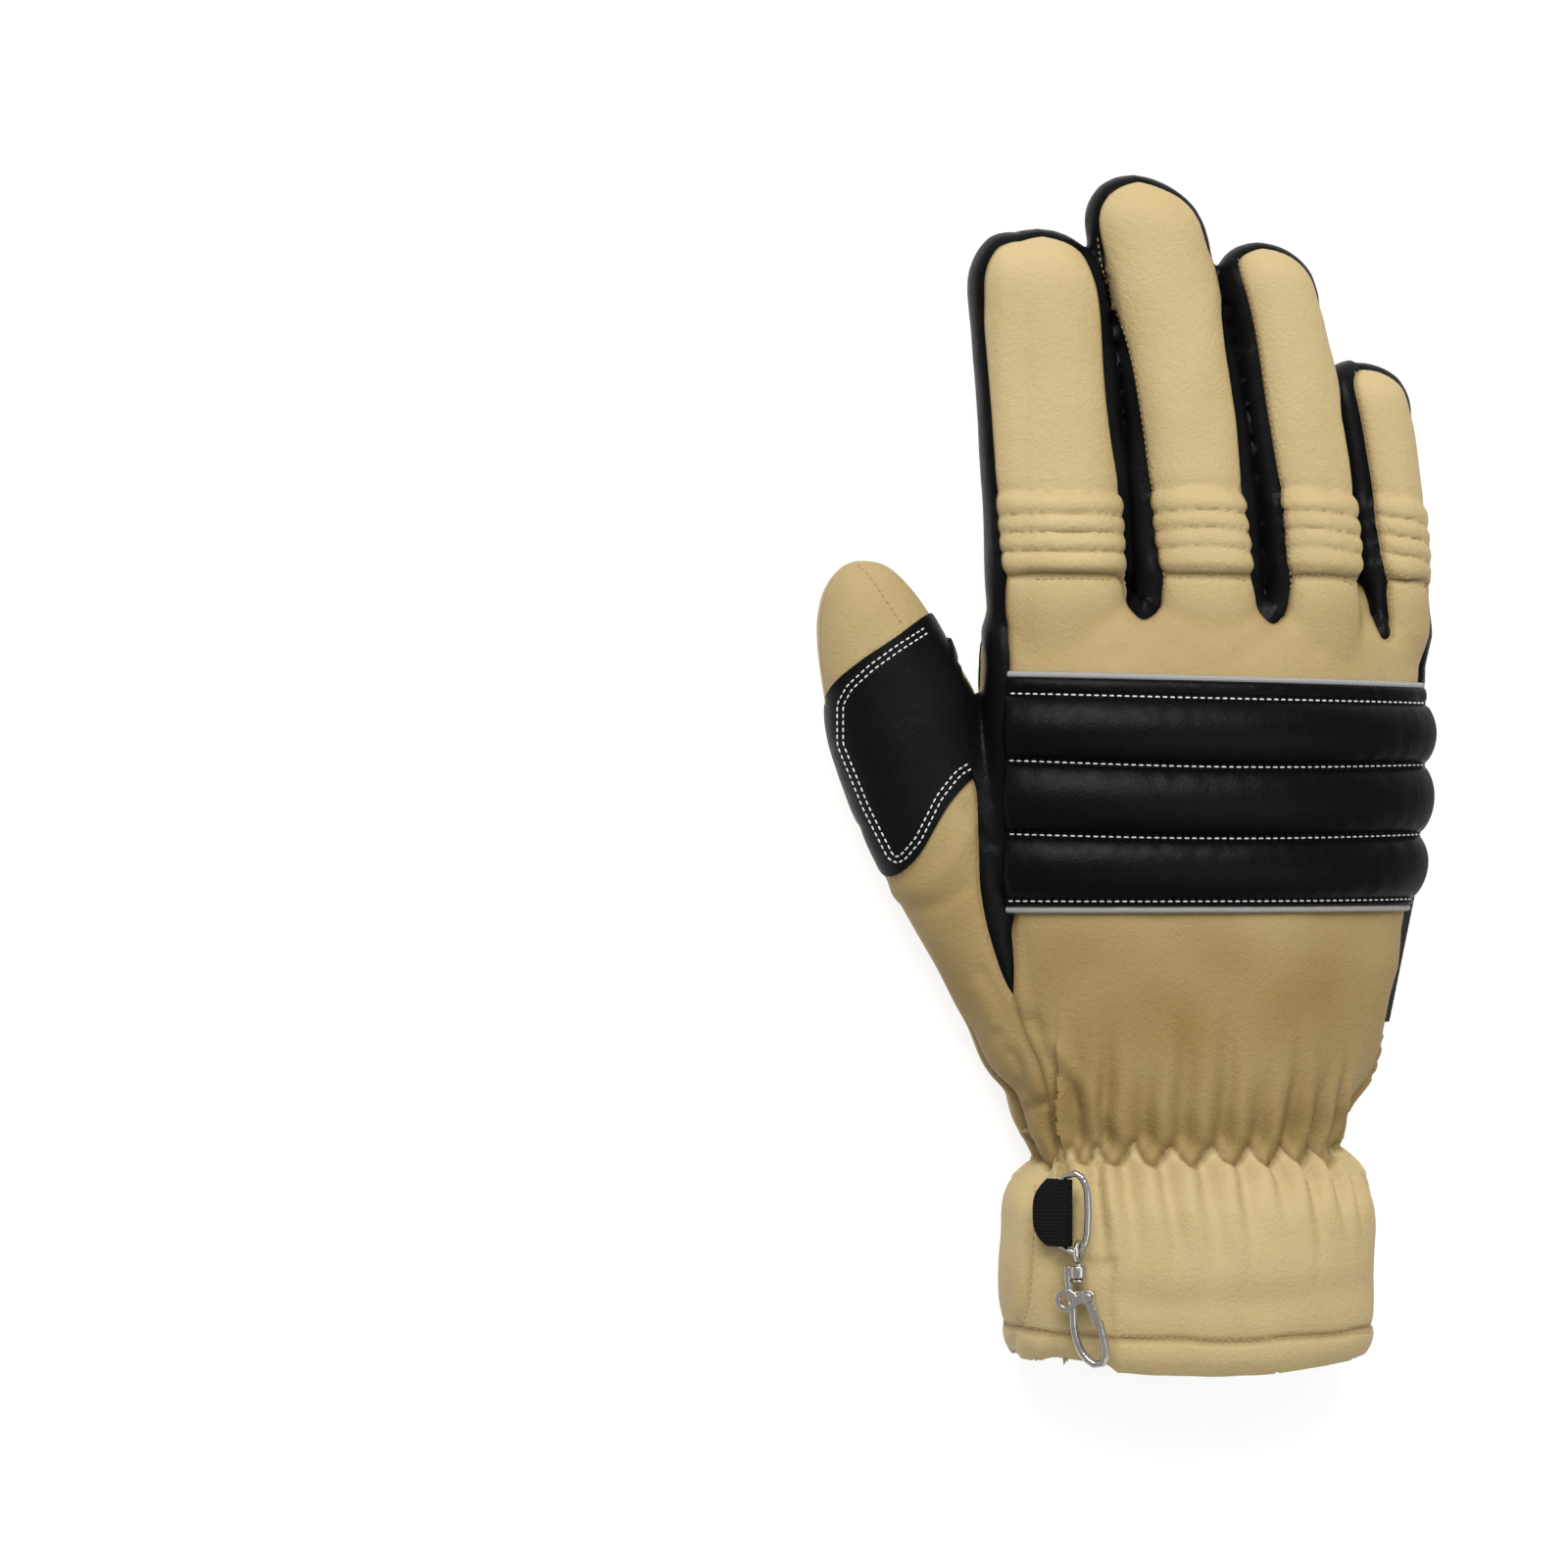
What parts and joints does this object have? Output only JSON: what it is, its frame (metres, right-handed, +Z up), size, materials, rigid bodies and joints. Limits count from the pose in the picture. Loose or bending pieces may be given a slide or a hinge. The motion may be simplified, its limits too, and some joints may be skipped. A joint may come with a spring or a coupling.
{
  "type": "firefighter glove",
  "caption": "Right-hand leather fire glove lying palm down: padded knuckle guard, ribbed finger backs, black side walls, gathered wrist, short cuff with a small snap hook.",
  "frame": {"origin": "under the middle of the bounding box, on the surface that the glove lies on", "axes": "+Z up with the back of the hand up, +Y towards the fingertips, -X towards the thumb"},
  "size_m": [0.1626, 0.3062, 0.0493],
  "materials": {
    "pale_leather": "matte full-grain leather, pale wheat colour, softly creased",
    "black_leather": "satin black leather with light creases",
    "grey_piping": "woven grey reflective piping",
    "black_webbing": "woven black webbing",
    "black_label": "plain woven black tape, nothing on it",
    "polished_nickel": "polished nickel plate with light wear"
  },
  "bodies": {
    "glove": {"finger_back_index": "pale_leather", "finger_back_middle": "pale_leather", "finger_back_ring": "pale_leather", "finger_back_pinky": "pale_leather", "back_panel": "pale_leather", "back_lower": "pale_leather", "gusset_index_outer": "black_leather", "gusset_index_middle": "black_leather", "gusset_middle_ring": "black_leather", "gusset_ring_pinky": "black_leather", "gusset_pinky_outer": "black_leather", "thumb_back": "pale_leather", "thumb_front": "pale_leather", "palm_panel": "pale_leather", "cuff_palm": "pale_leather", "cuff_back": "pale_leather", "cuff_hem": "pale_leather", "palm_patch": "black_leather", "thumb_patch": "black_leather", "knuckle_guard": "black_leather", "piping_upper": "grey_piping", "piping_lower": "grey_piping", "side_label": "black_label", "webbing_loop": "black_webbing", "d_ring": "polished_nickel", "clasp_swivel": "polished_nickel"},
    "hook": {"clasp_hook": "polished_nickel"},
    "lever": {"clasp_lever": "polished_nickel"}
  },
  "joints": [
    {"name": "hook_swivel", "type": "hinge", "parent": "glove", "child": "hook", "pos_m": [-0.01999, -0.12485, 0.04472], "axis": [-0.0013, -1, 0.007], "range_deg": [-18, 15]},
    {"name": "lever_pivot", "type": "hinge", "parent": "hook", "child": "lever", "pos_m": [-0.01776, -0.13264, 0.04644], "axis": [0.4428, -0.0068, -0.8966], "range_deg": [0, 20], "stiffness_Nm_per_rad": 0.01, "springref_deg": -20.05}
  ]
}
